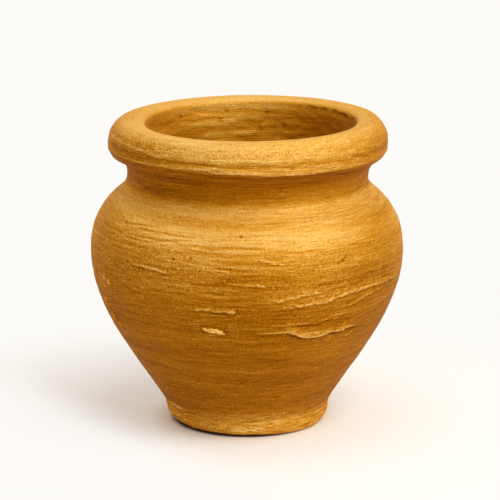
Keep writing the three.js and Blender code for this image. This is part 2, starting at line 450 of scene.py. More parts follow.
# Marks inside the mouth, shaped like the ledges
INNER_LEDGES = {
    "low_ridge": ([(162, 85.3), (169, 85.5), (176, 85.2), (184, 85.5), (192, 85.2)], 0.5, 1.2, 0.4),
    "left_smear": ([(196, 89.6), (204, 89.1), (213, 89.4), (221, 88.8), (230, 89.0)], 0.4, 1.6, 0.3),
    "left_fold": ([(202, 92.3), (211, 91.8), (220, 92.1), (232, 91.6)], 0.35, 1.3, 0.4),
    "middle_smear": ([(170, 91.0), (177, 90.6), (184, 90.9), (193, 90.3), (199, 90.6)], 0.35, 1.5, 0.3),
    "crack": ([(170, 88.9), (172.2, 88.7), (174, 87.9), (175.5, 87.6)], 0.6, 0.8, 0.5),
    "right_fold": ([(136, 89.9), (144, 89.3), (152, 89.7), (160, 89.1)], 0.4, 1.4, 0.4),
    "right_smear": ([(128, 86.8), (138, 86.3), (148, 86.7), (158, 86.2)], 0.4, 1.5, 0.4),
    "front_fold": ([(-30, 88.6), (-18, 88.1), (-6, 88.5), (8, 88.0)], 0.4, 1.5, 0.4),
    "front_smear": ([(20, 90.4), (34, 89.9), (47, 90.3)], 0.35, 1.4, 0.4),
}

# Scratches drawn by grit under the wheel: (angle, height) points and depth
SCRATCHES = [
    ([(-68, 65.3), (-51, 66.4), (-38, 66.8), (-26, 68.5), (-14, 68.9)], 0.2),
    ([(-78, 66.9), (-68, 67.3), (-58, 67.3), (-49, 66.8)], 0.2),
    ([(-54, 67.5), (-38.5, 67.9), (-29, 67.7), (-21.4, 67.1), (-13, 66.2), (-5, 66.1)], 0.19),
    ([(-15, 69.0), (-6.4, 69.0), (1.5, 68.9)], 0.16),
    ([(-60, 70.4), (-47, 71.2), (-34, 71.8)], 0.14),
    ([(-24, 67.3), (-14, 66.9), (-4, 66.6), (9, 66.2)], 0.2),
    ([(6, 66.1), (18, 65.0), (30, 65.6), (42, 65.9), (56, 65.2)], 0.13),
    ([(-52, 70.2), (-36.6, 70.1), (-27, 69.7), (-16, 69.7)], 0.13),
    ([(-14, 60.5), (-4, 60.2), (8, 60.4), (16, 59.9)], 0.2),
    ([(-36, 53.5), (-26, 53.1), (-14, 53.4), (-4, 52.9)], 0.2),
    ([(96, 66.5), (112, 67.2), (129, 66.6), (144, 67.4)], 0.26),
    ([(150, 69.6), (168, 68.9), (187, 69.5), (204, 68.8)], 0.26),
    ([(210, 64.6), (226, 65.4), (243, 64.9), (262, 65.6)], 0.26),
]
SCRATCH_WIDTH = 0.32
SCRATCH_BURR = 0.4
SCRATCH_SHADE = 0.2

# Patches of coarse grit: angle, height, half widths round and up, and strength
GRITTY = [
    (-42, 95.4, 22, 2.0, 1.1),
    (-62, 92.6, 16, 2.0, 0.15),
    (-50, 70.0, 22, 6.0, 0.3),
    (-8, 95.0, 30, 1.6, 0.2),
    (34, 95.5, 26, 1.8, 0.2),
    (-34, 60.0, 26, 5.0, 0.5),
    (30, 56.0, 24, 5.0, 0.3),
    (38, 28.0, 16, 8.0, 0.2),
    (-70, 62.0, 10, 6.0, 0.4),
    (170, 58.0, 40, 6.0, 0.5),
    (250, 94.0, 40, 2.6, 0.6),
]

# Pits, and lumps as pits of negative depth: angle, height, radius and depth. A pit is also painted with shade
# as deep as it is
PITS = [
    (-2.3, 70.5, 0.45, 0.35),
    (36.3, 61.8, 0.5, 0.3),
    (34.6, 61.2, 0.45, 0.25),
    (37.8, 62.6, 0.45, 0.25),
    (-5.6, 47.9, 0.7, -0.6),
    (-74.5, 51.6, 1.2, -0.5),
    (-63, 52.0, 1.1, -0.75),
    (-59.9, 51.0, 1.0, -0.7),
    (-67, 44.2, 0.8, -0.5),
    (-64.6, 38.4, 1.2, -0.5),
    (-62.4, 36.2, 1.2, -0.4),
    (-55.0, 70.6, 0.45, 0.25),
    (-27.0, 63.0, 0.45, 0.25),
    (-20.5, 63.8, 0.4, 0.25),
    (-21.9, 5.4, 0.4, 0.35),
    (-46.6, 5.4, 0.5, 0.25),
    (128.0, 66.0, 0.5, 0.35),
    (196.0, 60.5, 0.5, 0.3),
    (251.0, 70.0, 0.5, 0.35),
]

# Lines combed by the wheel, each with a sharp lower edge: spacing, breaks round the pot, height and seed
COMBED = [
    (1.9, 9, 0.07, 61),
    (3.1, 13, 0.08, 64),
    (1.1, 22, 0.04, 67),
]

# Crumbs of clay and the holes that crumbs left: size across, height, how sparse they are, and seed
CRUMBS = [
    (3.4, 0.06, 0.2, 91),
    (2.2, 0.05, 0.3, 93),
    (2.6, -0.06, 0.3, 95),
]
CRUMB_EDGE = 0.45
CRUMB_SLANT = 0.6

# Patches rubbed down to pale clay: angle, height, half widths round and up, and share
RUBS = [
    (-21, 89.0, 5, 0.25, 1.0),
    (-9, 89.0, 6, 0.22, 0.25),
    (33, 89.0, 12, 0.22, 0.3),
    (-4, 3.0, 28, 2.1, 0.7),
    (-3, 2.6, 18, 1.1, 0.95),
    (3.5, 2.5, 11, 0.6, 1.0),
    (-15, 3.1, 10, 0.8, 0.45),
    (11.5, 4.1, 3.5, 0.4, 1.2),
    (19, 4.6, 3.5, 0.4, 1.1),
    (-5, 8.2, 9, 0.4, 0.6),
    (16, 8.0, 7, 0.35, 0.9),
    (29, 8.2, 6, 0.4, 0.8),
    (45, 2.7, 9, 0.5, 0.5),
    (59, 5.5, 7, 0.4, 0.8),
    (-46.6, 5.4, 2.5, 0.5, 0.7),
    (-51, 3.3, 5, 0.5, 0.7),
    (-30.5, 7.4, 6, 0.7, 0.35),
    (-5.4, 47.7, 1.3, 0.7, 1.0),
    (39.5, 25.2, 1.6, 0.3, 0.5),
    (150, 2.2, 30, 0.9, 0.6),
    (235, 2.4, 20, 0.8, 0.5),
]

# Slow wander of the wheel's marks, swells of the outside, and dents of the thrower's fingers inside: spacing
# along the line, cells round the pot, height, seed, and slant where they lean
WANDER = [
    (21, 5, 1.5, 11),
    (5, 17, 0.35, 12),
]
SWELLS = [
    (9, 4, 0.07, 21),
    (4.2, 9, 0.035, 22),
    (1.2, 30, 0.02, 23),
]
DENTS = [
    (5.5, 7, 0.06, 42),
    (2.4, 24, 0.12, 43, 0.3),
    (1.6, 50, 0.1, 44, 0.3),
]
# How much of the inner ledges' height is left under the thrower's fingers
SMEARED = 0.35

# How strongly the wheel's lines show along the line: on foot, belly and roll most, inside least
COMBING = [
    (0, 2.2), (CREASE - 1, 1.8), (CREASE + 3, 0.8), (SEAM - 7, 0.8), (SEAM, 0.85), (BELLY - 10, 1),
    (BELLY + 4, 1), (BELLY + 10, 0.8), (WAIST - 6, 0.7), (WAIST, 0.8), (ROOT, 0.7), (LIP, 1.1),
    (LIP + 3, 1.2), (BULGE + 3, 0.9), (CREST, 0.5), (EDGE, 0.3), (THROAT, 0.3),
]
# How gritty the skin is: trimmed smooth below the seam and at the neck, rough on belly and rim
GRIT = [
    (0, 0.3), (CREASE + 3, 0.2), (SEAM - 7, 0.2), (SEAM, 0.35), (BELLY + 8, 0.45), (BELLY + 14, 0.3),
    (WAIST - 3, 0.2), (ROOT, 0.15), (LIP - 1.5, 0.2), (LIP, 0.35), (BULGE, 0.35), (CREST, 0.25),
    (EDGE, 0.15), (THROAT, 0.05),
]

# Painted contact shade on the base's edge, where it meets the floor: its height, how much higher it climbs
# about one side, over how many degrees, and how softly it ends
BASE_SHADE_HEIGHT = 1.2
BASE_SHADE_CLIMB = 1.9
BASE_SHADE_SIDE = -12
BASE_SHADE_SPAN = 66
BASE_SHADE_FADE = 0.6

# Foot that bulges on one side: how far, and the bulge's angle, place and half widths
FOOT_FULLNESS = 0.55
FOOT_BULGE = (45, 2.4, 40, 1.9)

# Groove above the lip: place over it, climb on the left, depth, width and how much broader it is on the left,
# depth and width of the sharp line at its bottom, its wander, and how dark its painted shade is
GROOVE_PLACE = LIP + 2.75
GROOVE_CLIMB = 0.95
GROOVE_DEPTH = 0.38
GROOVE_WIDTH = 1.0
GROOVE_SPREAD = 0.3
GROOVE_LINE_DEPTH = 0.06
GROOVE_LINE_WIDTH = 0.3
GROOVE_WANDER = 0.35
GROOVE_SHADE = 0.22
# The side where it is deepest, its share of that depth behind, and the angles of the left: where it is full,
# where it has ended, and where the groove is filled again
GROOVE_SIDE = -50
GROOVE_BEHIND = 0.12
GROOVE_LEFT = (-12, -57)
GROOVE_END = (-130, -90)
GROOVE_FILLED = (-65, -90)
FILLED_SHARE = 0.7
# Fuller underside of the roll away from the front: how far, place, half width, how much more on the left,
# and the front's half width
UNDERSIDE_FULLNESS = 0.5
UNDERSIDE_PLACE = LIP - 2.2
UNDERSIDE_REACH = 1.6
UNDERSIDE_LEFT = 0.3
FRONT_SPAN = 52


def ledge(turn, place, path, height, run_out, crumble, seed, inside=False):
    """Height of one torn ledge, how near each point is to its edge, which places its painted highlight and
    wear, and how much painted shade lies beneath it.

    Above the edge the height dies away over the run-out. Below it the face drops sharply into a slight
    undercut. Both ends taper, and noise makes the edge ragged and breaks it up as far as it is crumbled.
    The path is the line where the edge is seen: the edge stands above it, by the drop and by half its height.
    """
    level, ends = along_path(turn, path)
    fine, broad = round_noise(turn, 270, seed), round_noise(turn, 60, seed + 1)
    edge_lift = LEDGE_RAGGED * ((LEAST_RAGGED + crumble) * fine + broad / 2) + LEDGE_DROP + height / 2
    over = (inner_place(level) - place if inside else place - outer_place(level)) - edge_lift
    climb = np.maximum(over, 0)
    above = np.exp(-(climb / run_out) ** 1.5)
    below = smoothstep(1 + over / LEDGE_DROP)
    lumps = layers(turn, place, [(1.1, 190, 0.6, seed + 2), (0.6, 410, 0.7, seed + 1)])
    uneven = np.clip(1 - 0.3 * crumble + crumble * lumps, 0.05, 1.7)
    undercut = LEDGE_UNDERCUT * np.exp(-(over / LEDGE_DROP + 2) ** 2)
    highlight_reach = HIGHLIGHT_REACH * run_out * np.maximum(ends, 0.2) ** 1.5
    near = smoothstep(2 * ends) * uneven * below * np.exp(-(climb / highlight_reach) ** 2.5)
    shade = height * ends * np.exp(-((over + LEDGE_DROP + height / 2) / (height / 2 + SHADOW_REACH)) ** 2)
    return height * ends * uneven * (above * below - undercut), near, shade


def flake(turn, place):
    """Height of the flake as a share: a slab between two edges, each a soft step."""
    low = outer_place(along_path(turn, FLAKE_LOWER)[0])
    high = outer_place(along_path(turn, FLAKE_UPPER)[0])
    return smoothstep((place - low) / FLAKE_EDGE) * smoothstep((high - place) / FLAKE_EDGE)


def wheel_lines(turn, place):
    """Distance along the line, bent by slow noise, so that the marks of the wheel wander a little."""
    return place + layers(turn, place, WANDER)


def grittiness(turn, place):
    """How gritty the skin is: by its zone, and more on the gritty patches."""
    grit = zone(place, GRIT)
    for angle, level, half_round, half_up, strength in GRITTY:
        grit = grit + strength * patch(turn, place, angle, outer_place(level), half_round, half_up)
    return grit


def crumbs(turn, place):
    """Crumbs that stand on the skin and holes in it: noise above a threshold, in a soft S."""
    height = np.zeros_like(turn)
    for size, tall, sparse, seed in CRUMBS:
        cells = int(2 * np.pi * BELLY_RADIUS / size)
        level = noise(turn, place / size, cells, seed, CRUMB_SLANT)
        height += tall * smoothstep((level - sparse) / CRUMB_EDGE)
    return height


def combed_lines(turn, place, lines):
    """Lines combed by the wheel: teeth of a saw along the line, bent by noise and broken up round the pot."""
    height = np.zeros_like(turn)
    for spacing, cells, tall, seed in COMBED:
        phase = lines / spacing + noise(turn, place / 5, 13, seed) / 2
        left = smoothstep(2.2 * noise(turn, phase, cells, seed + 1) + 0.15)
        height += tall * left * (1 - phase % 1) ** 1.5
    return height


def scratched(turn, lines):
    """Height and shade of the scratches: bell-shaped furrows, broken by noise, with a burr beneath."""
    height, shade = np.zeros_like(turn), np.zeros_like(turn)
    for number, (path, depth) in enumerate(SCRATCHES):
        level, ends = along_path(turn, path)
        cut = depth * ends * np.clip(0.8 + 0.9 * round_noise(turn, 60, 80 + number), 0, 1.3)
        over = (lines - outer_place(level)) / SCRATCH_WIDTH
        furrow = cut * np.exp(-over ** 2)
        height += SCRATCH_BURR * cut * np.exp(-((over + 2.4) / 1.4) ** 2) - furrow
        shade = np.maximum(shade, SCRATCH_SHADE * furrow)
    return height, shade


def base_shaded(turn, place):
    """How dark the base's edge is painted as contact shade: most in front, where it climbs, and little
    behind.
    """
    height = BASE_SHADE_HEIGHT + BASE_SHADE_CLIMB * np.exp(-(signed_angle(turn * 360 - BASE_SHADE_SIDE) / BASE_SHADE_SPAN) ** 6)
    return smoothstep((height - place) / BASE_SHADE_FADE)


def outer_relief(turn, place):
    """Relief of the outside and the rim, its rubbed share, and its shade.

    It is painted shade under ledges, in pits and along scratches, and a painted highlight on the ledges'
    faces, where the shade is negative.
    """
    lines = wheel_lines(turn, place)
    height, shade = scratched(turn, lines)
    height += layers(turn, lines, SWELLS) + grittiness(turn, place) * crumbs(turn, place)
    height += zone(place, COMBING) * combed_lines(turn, place, lines)
    height += FOOT_FULLNESS * patch(turn, place, *FOOT_BULGE)
    slab = flake(turn, place)
    height += FLAKE_HEIGHT * slab
    rubbed = slab * np.clip(0.6 + 0.6 * noise(turn, place / 0.5, 260, 72), 0.4, 1)
    highlight = np.zeros_like(height)
    for number, (path, tall, run_out, crumble, share) in enumerate(LEDGES.values()):
        lift, near, beneath = ledge(turn, place, path, tall, run_out, crumble, 100 + 3 * number)
        height += lift
        rubbed = np.maximum(rubbed, WORN_EDGE * share * near)
        highlight = np.maximum(highlight, LEDGE_HIGHLIGHT * share * near)
        shade = np.maximum(shade, LEDGE_SHADE * (1 - crumble) * beneath)
    for angle, level, radius, depth in PITS:
        half_round = np.degrees(radius / BELLY_RADIUS)
        dent = depth * patch(turn, place, angle, outer_place(level), half_round, radius)
        height -= dent
        shade = np.maximum(shade, dent)
    streaky = smoothstep(0.6 + 1.8 * noise(turn, lines / 0.6, 34, 71))
    for angle, level, half_round, half_up, share in RUBS:
        rub = patch(turn, place, angle, outer_place(level), half_round, half_up)
        rubbed = np.maximum(rubbed, share * streaky * rub)
    return height, rubbed * (1 - base_shaded(turn, place)), shade - highlight


def groove_relief(turn, place):
    """The roll's groove and belly: a bell-shaped dent above the lip, a fuller underside off the front.

    The groove is broad and deep on the left, where it climbs, narrow in front and faint elsewhere. Its depth
    is given by itself as well.
    """
    degrees = signed_angle(turn * 360)
    left = between(degrees, *GROOVE_LEFT) * between(degrees, *GROOVE_END)
    facing = smoothstep(0.5 + 0.5 * np.cos(np.radians(degrees - GROOVE_SIDE)))
    broken = 0.85 + round_noise(turn, 40, 32) / 2
    over = place - GROOVE_PLACE - GROOVE_WANDER * round_noise(turn, 9, 31) - GROOVE_CLIMB * left
    dent = GROOVE_DEPTH * np.exp(-(over / (GROOVE_WIDTH + GROOVE_SPREAD * left)) ** 2)
    dent = dent + GROOVE_LINE_DEPTH * (1 - left) * np.exp(-(over / GROOVE_LINE_WIDTH) ** 2)
    dent = dent * (1 - FILLED_SHARE * left * between(degrees, *GROOVE_FILLED))
    dent = dent * broken * (GROOVE_BEHIND + (1 - GROOVE_BEHIND) * facing)
    aside = 1 - np.exp(-(degrees / FRONT_SPAN) ** 4)
    fuller = UNDERSIDE_FULLNESS * aside * (1 + UNDERSIDE_LEFT * left)
    fuller = fuller * np.exp(-((place - UNDERSIDE_PLACE) / UNDERSIDE_REACH) ** 2)
    return fuller - dent, dent


def inner_relief(turn, place):
    """Relief of the inside: soft dents and smears of the thrower's fingers, and a few folds of clay."""
    height = layers(turn, wheel_lines(turn, place), DENTS)
    for number, (path, tall, run_out, crumble) in enumerate(INNER_LEDGES.values()):
        height += SMEARED * ledge(turn, place, path, tall, run_out, crumble, 200 + 3 * number, inside=True)[0]
    return height


def clay_relief(turn, place):
    """Relief all over the skin: outside to the mouth's edge, inside beyond it, blended across the edge.

    The rubbed share and the shade go with it. The line's first stretch, on the underside, stays flat.
    """
    inside = between(place, MOUTH - 1.5, MOUTH + 1.5)
    height, rubbed, shade = outer_relief(turn, np.minimum(place, MOUTH))
    roll, groove = groove_relief(turn, place)
    shade = shade + GROOVE_SHADE * groove
    height = (height + roll) * (1 - inside) + inner_relief(turn, place) * inside
    return height * between(place, 0, 1.5), rubbed * (1 - inside), shade * (1 - inside)


# Bands painted paler or deeper: height, half width, and how much paler. The broad pale band on the shoulder
# is a painted highlight of the gold's sheen; the narrow ones are where the brush left more paint, or less
HIGHLIGHT_AND_PAINT_BANDS = [
    (68.5, 2.9, 0.06),
    (64.4, 0.9, -0.05),
    (61.0, 1.5, 0.03),
    (47.6, 1.6, -0.04),
]

# Patches painted paler or deeper: angle, height, half widths round and up, and how much paler. Most are
# painted light and shade: a painted highlight on the shoulder and on the lumps, paler where the neck faces
# the light, painted shade on the neck's left and under the roll; the rest is paint that varies
LIGHT_AND_PAINT_PATCHES = [
    (84, 94.0, 34, 6.0, -0.24),
    (-67, 92.4, 30, 4.4, -0.2),
    (-45, 81.0, 25, 4.0, -0.07),
    (-50, 57.0, 18, 8.0, -0.06),
    (45, 80.5, 40, 4.0, 0.1),
    (22, 70.0, 22, 4.5, 0.08),
    (66, 70.0, 18, 5.0, -0.17),
    (-66, 74.5, 12, 2.5, 0.12),
    (-46, 71.8, 14, 2.0, 0.05),
    (-52, 79.5, 14, 3.0, -0.08),
    (-22, 68.5, 13, 2.8, 0.1),
    (-24, 71.0, 13, 1.6, 0.08),
    (-24, 73.6, 14, 1.3, -0.13),
    (0, 72.8, 16, 1.6, -0.08),
    (24, 78.0, 14, 1.4, 0.1),
    (22, 75.0, 14, 1.4, 0.09),
    (74, 76.3, 12, 1.5, -0.1),
    (56, 66.8, 16, 2.2, -0.14),
    (-38, 48.0, 24, 4.0, 0.05),
    (-52, 91.6, 22, 1.6, -0.12),
    (-48, 90.0, 26, 2.0, -0.05),
    (-54, 95.2, 12, 1.2, -0.12),
    (-32, 97.6, 14, 1.0, 0.07),
    (-19, 97.0, 14, 1.2, 0.07),
    (62, 91.2, 16, 1.4, -0.1),
    (0, 87.5, 24, 1.3, -0.1),
    (40, 87.8, 16, 1.3, -0.08),
    (-66, 66.5, 16, 5.5, -0.16),
    (0, 53.0, 16, 6.0, -0.07),
    (32, 51.0, 20, 6.0, 0.1),
    (36, 32.0, 18, 8.0, 0.09),
    (40, 24.0, 22, 5.0, 0.05),
    (-6, 6.0, 34, 4.0, 0.07),
    (36, 6.0, 22, 3.4, 0.04),
    (-58, 3.5, 26, 3.0, -0.1),
    (30, 95.0, 28, 4.0, -0.03),
    (27, 57.0, 14, 5.0, 0.06),
    (-32, 53.6, 38, 1.3, 0.09),
    (-40, 65.5, 16, 1.8, -0.1),
    (-12, 66.4, 10, 1.0, -0.12),
    (-28, 62.7, 14, 1.0, -0.08),
    (-46, 62.0, 12, 2.0, -0.05),
    (-16, 56.3, 10, 1.0, -0.1),
    (-34, 59.4, 8, 0.8, 0.08),
    (1, 63.2, 9, 0.9, -0.2),
    (1, 58.7, 12, 1.6, -0.06),
    (2, 54.0, 8, 0.9, -0.1),
    (4, 44.0, 14, 3.5, -0.07),
    (24, 42.6, 10, 1.6, -0.12),
    (38, 54.8, 18, 1.8, -0.13),
    (50, 55.0, 12, 3.5, -0.08),
    (30, 59.8, 14, 1.2, 0.1),
    (13, 51.6, 8, 1.2, 0.1),
    (22, 49.3, 8, 1.0, 0.08),
    (50, 51.4, 8, 0.9, 0.1),
    (38, 43.3, 8, 1.2, -0.08),
    (24, 66.8, 20, 2.0, 0.06),
    (63, 62.5, 10, 1.5, -0.08),
    (62, 56.0, 10, 2.0, -0.05),
    (42, 58.0, 30, 12.0, -0.04),
    (180, 97.6, 50, 3.0, 0.03),
    (-97, 98.2, 24, 4.0, -0.11),
    (-63, 52.0, 2.0, 1.1, 0.14),
    (-59.9, 51.0, 1.8, 1.0, 0.14),
    (-67, 44.2, 1.6, 0.9, 0.12),
    (-64.6, 38.4, 2.4, 1.2, 0.08),
    (-50, 8.0, 25, 3.0, -0.05),
    (-48, 72.0, 30, 6.0, 0.02),
    (-28, 94.5, 16, 3.0, 0.045),
]

# The same inside the mouth: painted shade on the inner wall's right, away from the light, and in small dots
# for pits and cracks, and paler where the inner wall's left faces the light
INNER_PATCHES = [
    (124, 90.0, 28, 8.0, -0.18),
    (196, 90.0, 20, 5.0, 0.08),
    (152, 90.0, 18, 6.0, -0.07),
    (228, 91.0, 22, 6.0, -0.05),
    (197, 86.8, 20, 1.8, 0.05),
    (200, 86.2, 12, 0.6, 0.14),
    (172, 85.7, 9, 0.5, 0.16),
    (184, 87.2, 10, 0.4, 0.08),
    (193.8, 94.3, 1.3, 0.5, -0.35),
    (197.5, 91.5, 1.2, 0.45, -0.35),
    (171.1, 93.7, 1.4, 0.6, -0.35),
    (160.5, 89.6, 1.2, 0.5, -0.25),
    (223.5, 94.2, 1.2, 0.5, -0.25),
    (186.6, 85.7, 3, 0.35, -0.3),
    (176.6, 86.3, 3, 0.35, -0.3),
    (174.6, 88.5, 1.2, 1.2, -0.2),
    (141.5, 91.7, 1.2, 0.4, -0.2),
    (187, 85.2, 12, 0.9, 0.1),
    (180, 92.0, 24, 4.0, 0.05),
    (168, 96.9, 22, 1.0, 0.12),
    (208, 96.4, 18, 1.3, 0.12),
    (248, 97.0, 10, 2.5, -0.1),
    (100, 97.5, 10, 2.5, -0.1),
]

# How pale the paint is along the line: pale on foot, shoulder and rim, deep between and inside. The pale
# shoulder and rim top are partly a painted highlight where they face the light, the pale foot partly painted
# light bounced off the floor, and the deep neck under the roll, lower wall and inside partly painted shade
TONE = [
    (0, 0.8), (4, 0.74), (CREASE - 1.5, 0.65), (CREASE, 0.5), (CREASE + 3, 0.35),
    (SEAM - 12, 0.29), (SEAM, 0.32),
    (BELLY, 0.455), (BELLY + 9, 0.62), (WAIST - 7, 0.64), (WAIST - 4.5, 0.69), (WAIST - 3, 0.69),
    (WAIST - 1.8, 0.6), (WAIST, 0.4), (WAIST + 2, 0.32), (ROOT, 0.28), (LIP - 1.5, 0.3), (LIP, 0.6),
    (BULGE, 0.66), (CREST, 0.75), (EDGE - 0.2, 0.75), (EDGE + 1.0, 0.54),
    (THROAT + 6, 0.47), (THROAT + 60, 0.3),
]
# Slow drift of the tone, and how much deeper the painted contact shade at the base makes it
TONE_DRIFT = 0.07
BASE_SHADE_TONE = 0.9

# Painted shade of a crack under the mouth's edge, on the side away from the light: place, wander, width, how
# much deeper its tone is, and its side and half span
CRACK_PLACE = EDGE + 1.4
CRACK_WANDER = 0.5
CRACK_WIDTH = 0.4
CRACK_TONE = 0.45
CRACK_SIDE = 130
CRACK_SPAN = 32

# Thicker, yellower paint, partly a painted warmth of light bounced on the foot and inside the pot: its share
# inside, and on a patch of the shoulder with an angle, height and half widths
INSIDE_BOUNCE_SHARE = 0.45
THICK_SHARE = 0.5
THICK_PATCH = (-48, outer_place(72), 34, 7)


def tone_with_painted_light(turn, place):
    """How pale the paint is, from 0 to 1, painted light and shade included: by its zone, painted contact
    shade at the base, a crack's painted shade, patches and bands, and slow noise.
    """
    lines = wheel_lines(turn, place)
    tone = zone(place, TONE) + TONE_DRIFT * noise(turn, lines / 5, 5, 51) - BASE_SHADE_TONE * base_shaded(turn, place)
    crack = CRACK_PLACE + CRACK_WANDER * round_noise(turn, 50, 52)
    broken = np.clip(0.6 + round_noise(turn, 90, 53), 0, 1)
    here = np.exp(-(signed_angle(turn * 360 - CRACK_SIDE) / CRACK_SPAN) ** 4)
    tone = tone - CRACK_TONE * here * broken * np.exp(-((place - crack) / CRACK_WIDTH) ** 2)
    for patches, place_at in ((LIGHT_AND_PAINT_PATCHES, outer_place), (INNER_PATCHES, inner_place)):
        for angle, level, half_round, half_up, paler in patches:
            tone = tone + paler * patch(turn, place, angle, place_at(level), half_round, half_up)
    for level, half_width, paler in HIGHLIGHT_AND_PAINT_BANDS:
        tone = tone + paler * np.exp(-((lines - outer_place(level)) / half_width) ** 2)
    return tone


def thick_paint_and_bounce(turn, place):
    """How thickly the paint lies, from 0 to 1: on the foot, inside, and on the shoulder's left; on the foot
    and inside partly a painted warmth of bounced light.
    """
    ends = between(place, CREASE + 1, CREASE - 3) + INSIDE_BOUNCE_SHARE * between(place, EDGE + 1, EDGE + 4)
    return np.maximum(ends, THICK_SHARE * patch(turn, place, *THICK_PATCH))


# Meshes

def skin(start, end, *marks):
    """Rows of visible skin between two places on the line.

    Their spacing runs between (place, spacing) marks. Rows per millimetre are summed along the line, and
    rows stand where the sum passes whole shares of its end.
    """
    place = np.linspace(start, end, SKIN_SAMPLES)
    count = np.concatenate([[0], np.cumsum(np.diff(place) / zone((place[1:] + place[:-1]) / 2, marks))])
    return np.interp(np.linspace(0, count[-1], max(2, int(np.ceil(count[-1])) + 1)), count, place)


def joint(*points):
    """Rows of hidden joint face: straight runs between points, without the first and last."""
    corners = np.array(points, float)
    runs = [np.linspace(a, b, max(2, int(np.hypot(*(b - a)) / JOINT_STEP) + 1))[:-1]
            for a, b in zip(corners[:-1], corners[1:])]
    return np.vstack(runs)[1:]


def hand_made(points):
    """The thrower's hand: the crest tips about the front-to-back line, mouth and foot slide to one side.

    The mouth is squeezed by a share of its radius, and tips back. The lip climbs on the left of the front,
    under a bell curve of the height.
    """
    x, y, z = points.T
    radius = np.hypot(x, y)
    degrees = np.degrees(np.arctan2(x, -y))
    crest = between(z, *CREST_HEIGHTS)
    throat = between(z, *THROAT_HEIGHTS) * between(radius, *THROAT_RADII)
    left = between(degrees, *LIP_ANGLES) * between(degrees, *LIP_END) * between(radius, *LIP_RADII)
    slide = (ROLL_SHIFT * between(z, *ROLL_HEIGHTS)
             + MOUTH_SHIFT * between(z, *MOUTH_HEIGHTS) * between(radius, *MOUTH_RADII)
             + LOWER_SHIFT * between(z, *LOWER_HEIGHTS) * between(z, *LOWER_END)
             + FOOT_SHIFT * between(z, *FOOT_HEIGHTS))
    squeeze = 1 - MOUTH_SQUEEZE * throat
    z = z + LIP_CLIMB * left * np.exp(-((z - LIP_POINT[1]) / LIP_CLIMB_REACH) ** 2)
    z = z + x * np.tan(CREST_TILT) * crest + y * np.tan(MOUTH_TILT) * throat
    return np.column_stack([x * squeeze + slide, y * squeeze, z])


def section_rows(parts):
    """Joins the parts of a closed half section: skin rows as distances, joint rows as points.

    Gives radius and height of each row, its normal, its place on the line, whether it is skin, and the
    rows at which skin meets joint.
    """
    points, normals, places, shown, corners = [], [], [], [], []
    for part in parts:
        is_skin = part.ndim == 1
        if is_skin:
            count = sum(len(p) for p in points)
            corners += [count, count + len(part) - 1]
            points.append(on_line(part))
            normals.append(on_line(part, LINE_NORMAL))
            places.append(part)
        else:
            points.append(part)
            normals.append(np.zeros_like(part))
            places.append(np.full(len(part), places[-1][-1]))
        shown.append(np.full(len(part), is_skin))
    return tuple(map(np.concatenate, (points, normals, places, shown))) + (corners,)


def grid_faces(rows, poles):
    """Faces of a ring of rows: quads between neighbouring rows, the last row meeting the first.

    With poles, the strip between the two rows that close on the axis is left out, and each of them gets a
    fan of triangles to its own vertex there. Vertices run along the rows, and the poles' come last.
    """
    ring = np.arange(rows * COLUMNS).reshape(rows, COLUMNS)
    beside = np.roll(ring, -1, axis=1)
    lower = np.array([row for row in range(rows) if not poles or row != poles[0][0]])
    upper = (lower + 1) % rows
    quads = np.stack([ring[lower], beside[lower], beside[upper], ring[upper]], axis=-1).reshape(-1, 4)
    fans = []
    for number, (row, _) in enumerate(poles):
        tip = np.full(COLUMNS, rows * COLUMNS + number)
        edge = (ring[row], beside[row]) if number == 0 else (beside[row], ring[row])
        fans += np.stack([*edge, tip], axis=-1).tolist()
    return quads.tolist() + fans


# Neighbours that a point's hollow is measured against, to each side, and the depth at which it is full
HOLLOW_COLUMNS = 2
HOLLOW_ROWS = 3
HOLLOW_DEPTH = 0.1


def hollows(height):
    """How far each point lies under the mean of its neighbours, from -1 to 1 by the hollow's full depth."""
    columns = range(-HOLLOW_COLUMNS, HOLLOW_COLUMNS + 1)
    mean = sum(np.roll(height, k, axis=1) for k in columns) / len(columns)
    framed = np.pad(mean, ((HOLLOW_ROWS, HOLLOW_ROWS), (0, 0)), mode="edge")
    shifts = range(2 * HOLLOW_ROWS + 1)
    mean = sum(framed[k:k + len(height)] for k in shifts) / len(shifts)
    return np.clip((mean - height) / HOLLOW_DEPTH, -1, 1)


def set_attribute(mesh, name, values, poles):
    """Stores one value, or one vector, for each vertex; a pole takes that of its row."""
    kind, field = ("FLOAT_VECTOR", "vector") if values.ndim == 3 else ("FLOAT", "value")
    values = [*values.reshape(-1, *values.shape[2:]), *(values[row, 0] for row, _ in poles)]
    mesh.attributes.new(name, kind, "POINT").data.foreach_set(field, np.asarray(values, np.float32).ravel())


def add_object(name, data):
    """A new object at the origin, linked to the scene."""
    made = bpy.data.objects.new(name, data)
    bpy.context.scene.collection.objects.link(made)
    return made


